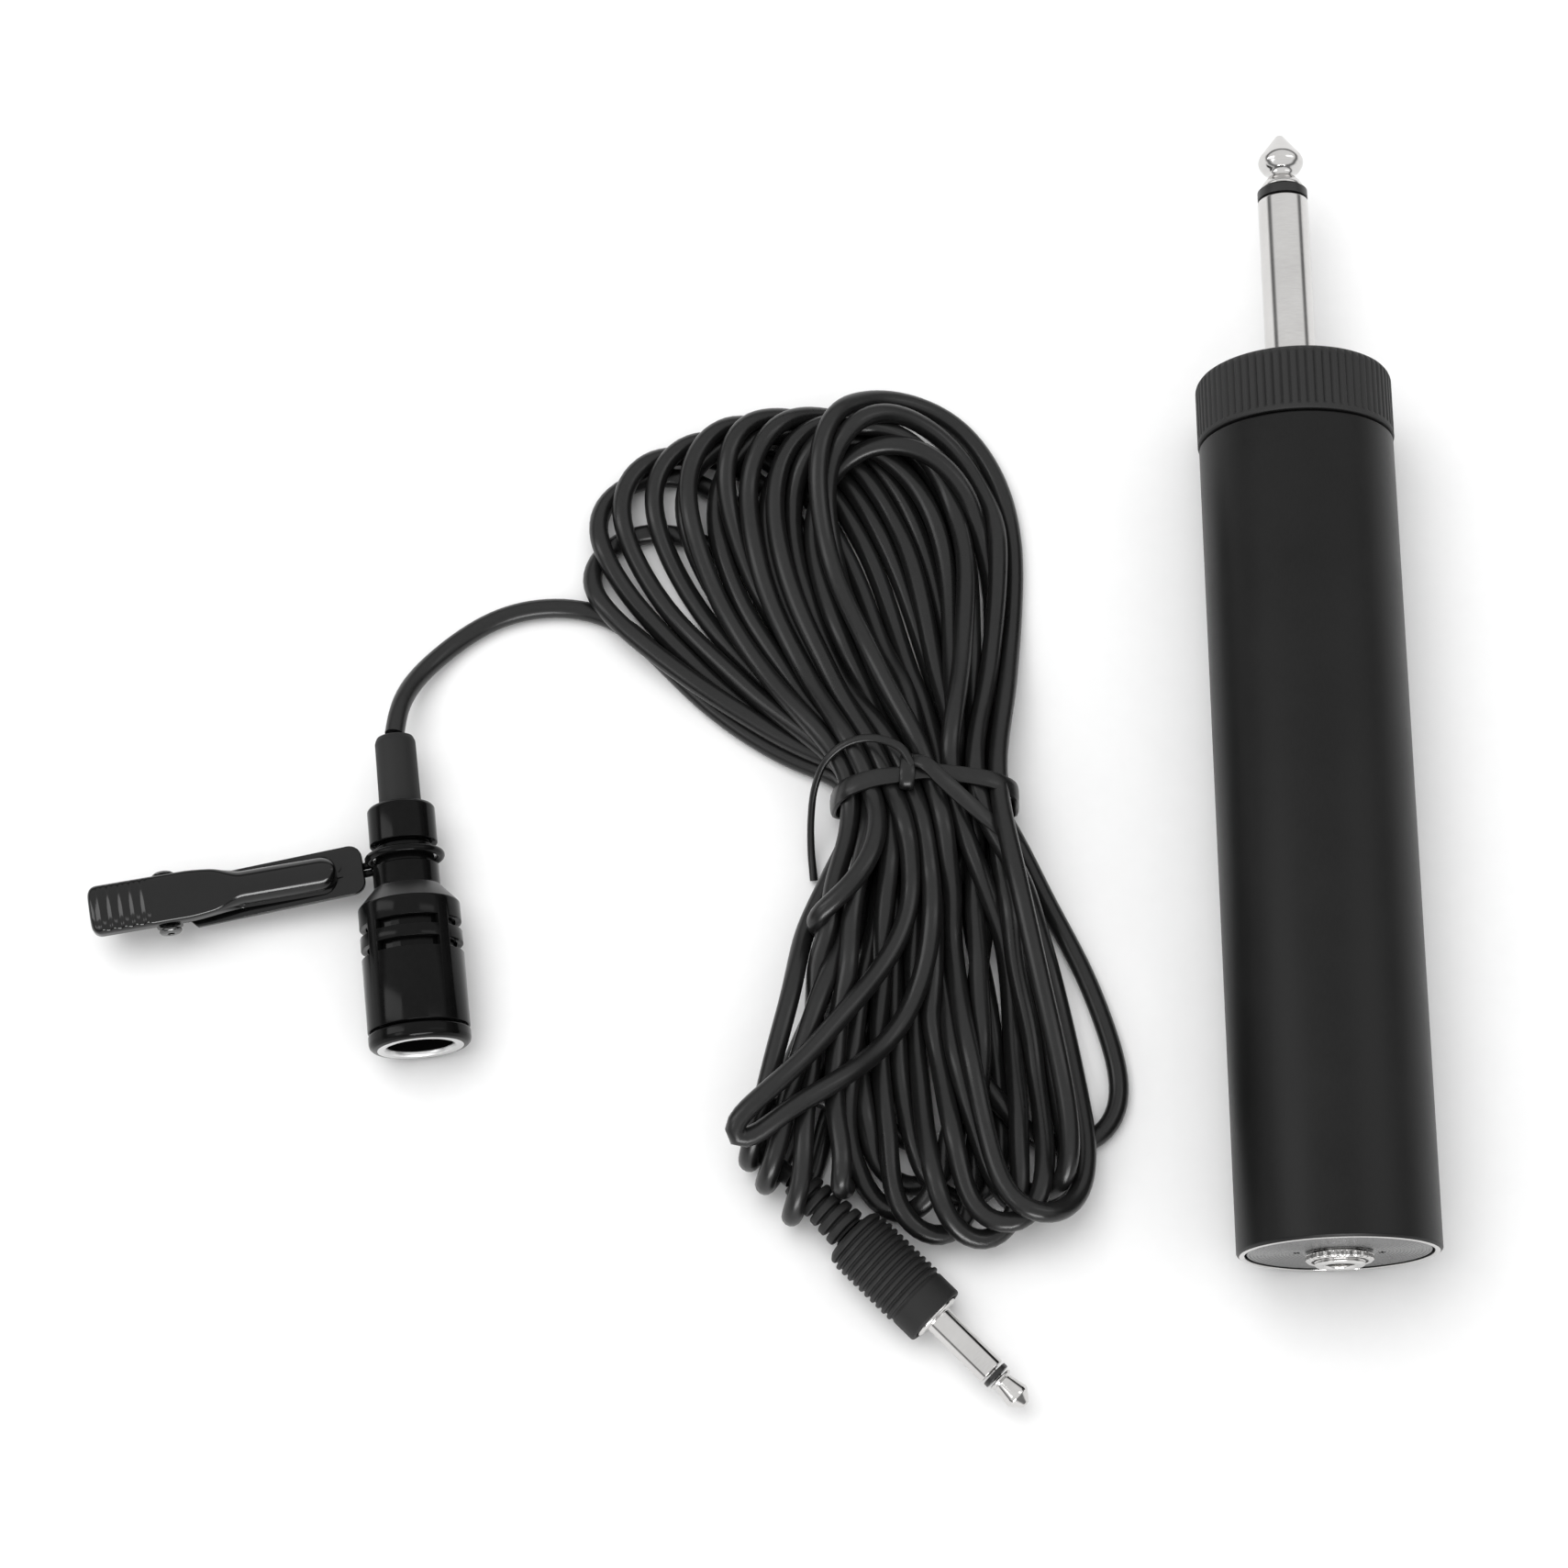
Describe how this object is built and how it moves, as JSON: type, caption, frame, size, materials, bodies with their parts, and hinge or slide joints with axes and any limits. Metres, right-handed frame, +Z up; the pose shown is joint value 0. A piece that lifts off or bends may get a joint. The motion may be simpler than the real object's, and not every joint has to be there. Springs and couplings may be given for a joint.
{
  "type": "lavalier microphone",
  "caption": "Clip-on lavalier microphone head on a thin cord tied in a hank, with a mini plug, and a tubular battery adapter with a jack, a screw cap and a large phone plug.",
  "frame": {"origin": "middle of the footprint of the microphone head, the clip and the adapter, on the plane that the kit lies on", "axes": "+Y along the adapter's axis from its jack to its large plug, +Z up, +X across the kit from the clip to the adapter"},
  "size_m": [0.1611, 0.1602, 0.0243],
  "materials": {
    "gloss_black_metal": "glossy black lacquer",
    "satin_black_metal": "satin black anodised with a fine turned grain",
    "black_rubber": "matt moulded",
    "cord_pvc": "satin soft black",
    "black_plastic": "fine satin",
    "nickel": "bright nickel plate",
    "spring_steel": "bright drawn wire",
    "turned_aluminium": "turned with fine concentric rings",
    "dark_gauze": "dark woven wire",
    "dark_foam": "open-cell foam",
    "green_board": "satin solder mask",
    "brass": "bright stamped",
    "ivory_plastic": "satin moulded",
    "cell_jacket": "glossy printed-free sleeve"
  },
  "bodies": {
    "microphone": {"head_shell": "gloss_black_metal", "front_ring": "gloss_black_metal", "front_mesh": "dark_gauze", "foam_disc": "dark_foam", "capsule_holder": "black_rubber", "electret_capsule": "turned_aluminium", "capsule_board": "green_board", "rear_collar": "gloss_black_metal", "cable_sleeve": "black_rubber", "cord_lead": "cord_pvc", "cord_hank": "cord_pvc", "cord_tail": "cord_pvc", "cord_tie": "cord_pvc", "plug_relief": "black_rubber", "plug_boot": "black_rubber", "small_plug_sleeve": "nickel", "small_plug_insulator": "black_plastic", "small_plug_tip": "nickel"},
    "clip": {"clip_ring": "gloss_black_metal", "clip_plate": "gloss_black_metal", "clip_pin": "spring_steel", "clip_spring": "spring_steel"},
    "clip_lever": {"clip_lever": "gloss_black_metal"},
    "adapter": {"adapter_tube": "satin_black_metal", "end_disc": "turned_aluminium", "jack_bush": "nickel", "jack_nut": "nickel", "jack_body": "black_plastic", "jack_contact": "brass", "circuit_board": "green_board", "coupling_capacitor": "black_plastic", "bias_resistor": "ivory_plastic", "spring_plate": "black_plastic", "contact_spring": "nickel", "battery_sleeve": "ivory_plastic"},
    "cell": {"battery_cell": "cell_jacket", "battery_terminal": "nickel"},
    "cap_seal": {"cap_seal": "black_rubber"},
    "cap": {"screw_cap": "satin_black_metal", "plug_nut": "nickel", "big_plug_sleeve": "nickel", "big_plug_insulator": "black_plastic", "big_plug_tip": "nickel"}
  },
  "joints": [
    {"name": "clip_swivel", "type": "hinge", "parent": "microphone", "child": "clip", "pos_m": [-0.04196, -0.02007, 0.0062], "axis": [-0.0985, 0.9951, 0], "continuous": true},
    {"name": "clip_squeeze", "type": "hinge", "parent": "clip", "child": "clip_lever", "pos_m": [-0.07093, -0.02525, 0.00524], "axis": [0.1759, -0.9844, 0.0068], "range_deg": [0, 25], "stiffness_Nm_per_rad": 0.03, "springref_deg": -5.73},
    {"name": "adapter_lift", "type": "slide", "parent": "microphone", "child": "adapter", "axis": [0, 0, 1], "range_m": [0, 0.06]},
    {"name": "cell_slide", "type": "slide", "parent": "adapter", "child": "cell", "axis": [0, 1, 0], "range_m": [0, 0.06]},
    {"name": "cap_travel", "type": "slide", "parent": "cell", "child": "cap_seal", "axis": [0, 1, 0], "range_m": [0, 0.005]},
    {"name": "cap_turn", "type": "hinge", "parent": "cap_seal", "child": "cap", "pos_m": [0.0686, 0.0391, 0.01215], "axis": [0, 1, 0], "range_deg": [0, 1800]}
  ],
  "couplings": [
    {"joint": "cap_turn", "follows": "cap_travel", "rad_per_m": 6283.2}
  ]
}
